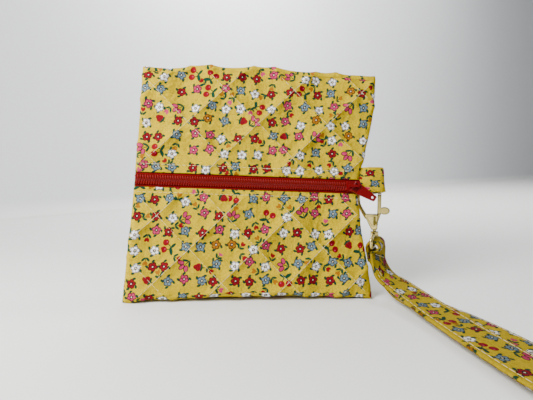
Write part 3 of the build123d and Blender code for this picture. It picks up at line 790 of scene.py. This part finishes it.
def ribbon(middle, across, half_width, half_thickness, shift):
    """A folded cloth strip with soft edges along a path. across is its width direction, and shift
    is where it starts on the printed cloth."""
    heading = unit(np.gradient(middle, axis=0))
    across = unit(across - heading * np.sum(across * heading, -1, keepdims=True))
    face = np.cross(heading, across)
    turn = np.arange(ROUND) / ROUND * TURN
    cx, cy = np.cos(turn), np.sin(turn)
    px = np.sign(cx) * np.abs(cx) ** 0.28
    py = np.sign(cy) * np.abs(cy) ** 0.55
    half_width = np.broadcast_to(half_width, len(middle))
    dent = 1.0 - 0.16 * np.exp(-(((np.abs(px) - 0.80) / 0.06) ** 2))
    points = (
        middle[:, None]
        + (px[None] * half_width[:, None])[..., None] * across[:, None]
        + (py * dent)[None, :, None] * half_thickness * face[:, None]
    )
    run = np.concatenate([[0], np.cumsum(np.linalg.norm(np.diff(middle, axis=0), axis=1))])
    around = np.where(py >= 0, px, 2.2 - px) * 9.0
    flat = np.stack([
        np.broadcast_to(run[:, None] + shift[0], (len(run), ROUND)),
        np.broadcast_to(around[None] + shift[1], (len(run), ROUND)),
    ], -1)
    sides = grid_faces(len(middle), ROUND, closed_columns=True)
    end = np.array([[k, k + 1, ROUND - 2 - k, ROUND - 1 - k] for k in range(ROUND // 2 - 1)])
    faces = np.vstack([sides, end[:, ::-1], end + (len(middle) - 1) * ROUND])
    return points, faces, flat, face, across


def smooth_path(points, spacing):
    """A smooth curve through the given points, evenly sampled; works on any number of columns."""
    points = np.asarray(points, float)
    padded = np.vstack([2 * points[0] - points[1], points, 2 * points[-1] - points[-2]])
    found = []
    for i in range(1, len(padded) - 2):
        p0, p1, p2, p3 = padded[i - 1:i + 3]
        count = max(2, int(np.linalg.norm(p2[:3] - p1[:3]) / spacing))
        for t in np.arange(count) / count:
            found.append(0.5 * (
                2 * p1 + (p2 - p0) * t + (2 * p0 - 5 * p1 + 4 * p2 - p3) * t * t
                + (3 * p1 - p0 - 3 * p2 + p3) * t ** 3
            ))
    found.append(points[-1])
    return np.array(found)


# tab: out from the seam in front, round the fold and back to the seam behind
TAB_MIDDLE = np.array([0.0, FRONT_FOOT + 60.0 * LEAN + 2.5, 60.0])
tab_path = [(56.2, 0.62), (58.6, 0.9), (62.6, 2.8), (65.6, 2.85), (68.2, 2.85)]
tab_path += [
    (68.2 + 2.85 * math.sin(a), 2.85 * math.cos(a)) for a in np.radians([30, 60, 90, 120, 150])
]
tab_path += [(68.2, -2.85), (65.6, -2.85), (62.6, -2.8), (58.6, -0.9), (56.2, -0.62)]
tab_line = smooth_path([(x, n, 0.0) for x, n in tab_path], 0.5)
run = np.linspace(0, 1, len(tab_line))
ease = np.clip((run - 0.45) / 0.25, 0, 1)
ease = ease * ease * (3 - 2 * ease)
tab_high = 6.9 - 6.9 * ease
tab_low = -6.4 - 0.5 * ease + 0.7 * np.exp(-((run - 0.05) / 0.12) ** 2)
tab_middle = TAB_MIDDLE + tab_line[:, :1] * np.array([1.0, 0, 0]) + tab_line[:, 1:2] * FRONT_OUT
tab_middle = tab_middle + ((tab_high + tab_low) / 2)[:, None] * FRONT_UP
points, faces, flat, _, _ = ribbon(
    tab_middle, np.broadcast_to(FRONT_UP, tab_middle.shape), (tab_high - tab_low) / 2, 0.6,
    (31.0, 47.0),
)
tab = make_mesh("side_tab_loop", points, faces, PRINT, flat)
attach(tab, "pouch")
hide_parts("side_tab")

# strap: round the ring's bar, forward along the table, back under itself and to the joint

def turned(degrees):
    """A level direction, counted from +X."""
    return np.array([math.cos(math.radians(degrees)), math.sin(math.radians(degrees)), 0.0])


BAR = np.array([67.4, 3.55, 24.9])
UP = np.array([0.0, 0.0, 1.0])
ring_across = turned(62.0)
ring_normal = np.cross(ring_across, UP)
FOLD, FOLD_RADIUS = BAR + 0.9 * ring_normal, 3.2
JOINT, LAYER_GAP = np.array([68.5, 2.2, 18.4]), 1.15
# x, y, z of the strap's middle and its width direction in degrees from +X
upper_run = [
    (71.0, -7.0, 11.0, 44.0), (75.6, -18.5, 7.2, 30.0), (79.3, -33.0, 4.9, 18.0),
    (81.7, -51.0, 3.9, 11.0), (83.4, -71.0, 3.9, 7.0), (85.8, -94.0, 4.1, 8.0),
    (89.3, -118.0, 4.9, 10.0), (93.0, -140.0, 6.3, 12.0),
]
lower_run = [
    (95.6, -141.0, 1.2, 12.0), (98.0, -120.0, 1.2, 9.0), (98.8, -98.0, 1.2, 9.0),
    (97.8, -80.0, 1.2, 11.0), (95.2, -61.0, 1.2, 14.0), (90.6, -43.0, 1.2, 18.0),
    (83.6, -27.0, 1.9, 26.0), (75.6, -13.0, 5.4, 38.0),
]
far, far_radius = np.array([94.6, -145.5, 3.75]), 2.55  # the loop's turn at its far end
far_ahead, far_across = np.array([0.208, -0.978, 0.0]), turned(12.0)
joint_heading = unit(np.array(upper_run[0][:3]) - BAR)
joint_across = turned(56.0)
joint_across = unit(joint_across - joint_heading * joint_across.dot(joint_heading))
joint_face = np.cross(joint_heading, joint_across)

route = [(JOINT - joint_face * LAYER_GAP, joint_across)]
for step in range(7):
    a = math.radians(180 - 30 * step)
    route.append((FOLD + FOLD_RADIUS * (ring_normal * math.cos(a) + UP * math.sin(a)), ring_across))
route.append((JOINT + joint_face * LAYER_GAP, joint_across))
route += [(np.array(p[:3]), turned(p[3])) for p in upper_run]
for step in range(7):
    a = math.radians(90 - 30 * step)
    route.append((far + far_radius * (far_ahead * math.cos(a) + UP * math.sin(a)), far_across))
route += [(np.array(p[:3]), turned(p[3])) for p in lower_run]
route.append((JOINT - joint_face * LAYER_GAP + joint_heading * 1.2, joint_across))
strap_line = smooth_path([np.concatenate([p, w]) for p, w in route], 0.8)
points, faces, flat, face, across = ribbon(
    strap_line[:, :3], strap_line[:, 3:], 9.0, 1.0, (5.0, 80.0)
)
strap = make_mesh("wrist_strap_cloth", points, faces, SHADED_STRAP_PRINT, flat)
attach(strap, "strap")
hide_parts("wrist_strap")

centres, ways, outs = [], [], []
past_fold = int(np.argmin(np.linalg.norm(strap_line[:, :3] - np.array(upper_run[0][:3]), axis=1)))
for side in (-7.2, 7.2):
    for sign in (1, -1):
        path = (strap_line[:, :3] + across * side + face * sign * 0.97)[past_fold:]
        c, w, o = stitch_line(path, (face * sign)[past_fold:], 3.1)
        centres.append(c)
        ways.append(w)
        outs.append(o)
centres, ways, outs = (np.concatenate(v) for v in (centres, ways, outs))
edge_stitching = stitches("strap_edge_stitching", centres, ways, outs, 2.7, 0.09)
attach(edge_stitching, "strap")


# ---- the metal parts and the strap's tack keep their CAD shape -----------------------------------
def coat(nodes, material):
    for node in nodes:
        NODES[node].data.materials.clear()
        NODES[node].data.materials.append(material)


coat(["strap_tack"], THREAD)
coat(["slider_body", "slider_bridge", "zipper_pull"], ENAMEL)
coat(["hook_frame", "gate_pin", "swivel_post", "gate_lever", "strap_ring"], GOLD)
coat(["gate_spring"], STEEL)


# ---- floor, walls and light, in metres -----------------------------------------------------------
FLOOR_COLOUR, WALL_COLOUR = (0.85, 0.85, 0.82), (0.75, 0.76, 0.775)
SIDE_COLOUR = (0.62, 0.63, 0.64)
SWEEP = 0.02  # radius of the bend between the floor and the back wall
WALL_LEFT, CORNER = np.array([-2.446, -1.566, 0.0]), np.array([1.857, 2.170, 0.0])
WALL_TOP = np.array([0.0, 0.0, 4.0])


def backdrop(name, rows, colour, foot=None):
    """A staging surface through rows of points. Its colour blends from foot at the floor."""
    points = np.array(rows)
    mesh = bpy.data.meshes.new(name)
    mesh.from_pydata(points.reshape(-1, 3).tolist(), [], grid_faces(*points.shape[:2]).tolist())
    mesh.polygons.foreach_set("use_smooth", [True] * len(mesh.polygons))
    s = Shader(name)
    place = s.node("ShaderNodeTexCoord").outputs["Object"]
    spots = s.mul(s.noise(place, 40.0, 3.0), 0.25)
    shade = s.mix(spots, (*colour, 1.0), (*(v * 0.96 for v in colour), 1.0))
    if foot:
        height = s.node("ShaderNodeSeparateXYZ", {"Vector": place}).outputs[2]
        rise = s.math("MULTIPLY", height, 1.0 / SWEEP, clamp=True)
        shade = s.mix(rise, (*foot, 1.0), shade)
    mesh.materials.append(s.finish(colour=shade, roughness=0.7))
    made = bpy.data.objects.new(name, mesh)
    bpy.context.scene.collection.objects.link(made)


wall_along = (CORNER - WALL_LEFT) / np.linalg.norm(CORNER - WALL_LEFT)
wall_out = np.array([wall_along[1], -wall_along[0], 0.0])
bend = [
    wall_out * SWEEP * (1 - math.sin(a)) + np.array([0.0, 0.0, SWEEP * (1 - math.cos(a)) + 0.0002])
    for a in np.linspace(0, math.pi / 2, 13)
]
backdrop("floor", [[(-6, -6, 0), (6, -6, 0)], [(-6, 6, 0), (6, 6, 0)]], FLOOR_COLOUR)
backdrop(
    "back_wall",
    [[WALL_LEFT + step, CORNER + step] for step in bend + [WALL_TOP]],
    WALL_COLOUR, FLOOR_COLOUR,
)
side_end = np.array([3.0, -0.6, 0.0])
backdrop("right_wall", [[CORNER, side_end], [CORNER + WALL_TOP, side_end + WALL_TOP]], SIDE_COLOUR)


def soft_light(name, place, target, size, power):
    """A square area light with sides of size metres, aimed at target; power in watts."""
    data = bpy.data.lights.new(name, "AREA")
    data.shape = "SQUARE"
    data.size = size
    data.energy = power
    made = bpy.data.objects.new(name, data)
    made.location = place
    made.rotation_euler = (Vector(target) - Vector(place)).to_track_quat("-Z", "Y").to_euler()
    bpy.context.scene.collection.objects.link(made)


soft_light("key", (-0.62, -0.36, 0.33), (0.0, 0.0, 0.06), 0.36, 3.2)
soft_light("near_key", (-0.19, -0.15, 0.28), (-0.03, 0.0, 0.10), 0.14, 2.1)
soft_light("wall_wash", (0.75, 0.3, 1.0), (0.65, 0.95, 0.50), 0.4, 9.7)
soft_light("top_glow", (0.08, 0.25, 0.62), (0.06, 0.75, 0.52), 0.2, 8.5)

# room light: dark below, bright above
world = bpy.data.worlds.new("world")
bpy.context.scene.world = world
world.use_nodes = True
sky = world.node_tree
coordinates = sky.nodes.new("ShaderNodeTexCoord")
axes = sky.nodes.new("ShaderNodeSeparateXYZ")
sky.links.new(coordinates.outputs["Generated"], axes.inputs[0])
ramp = sky.nodes.new("ShaderNodeValToRGB")
sky.links.new(axes.outputs["Z"], ramp.inputs["Fac"])
stops = ramp.color_ramp.elements
stops[0].position, stops[0].color = 0.0, (0.16, 0.16, 0.17, 1)
stops[1].position, stops[1].color = 0.85, (1.35, 1.38, 1.45, 1)
stops.new(0.22).color = (0.30, 0.30, 0.32, 1)
sky.links.new(ramp.outputs["Color"], sky.nodes["Background"].inputs["Color"])
sky.nodes["Background"].inputs["Strength"].default_value = 0.40
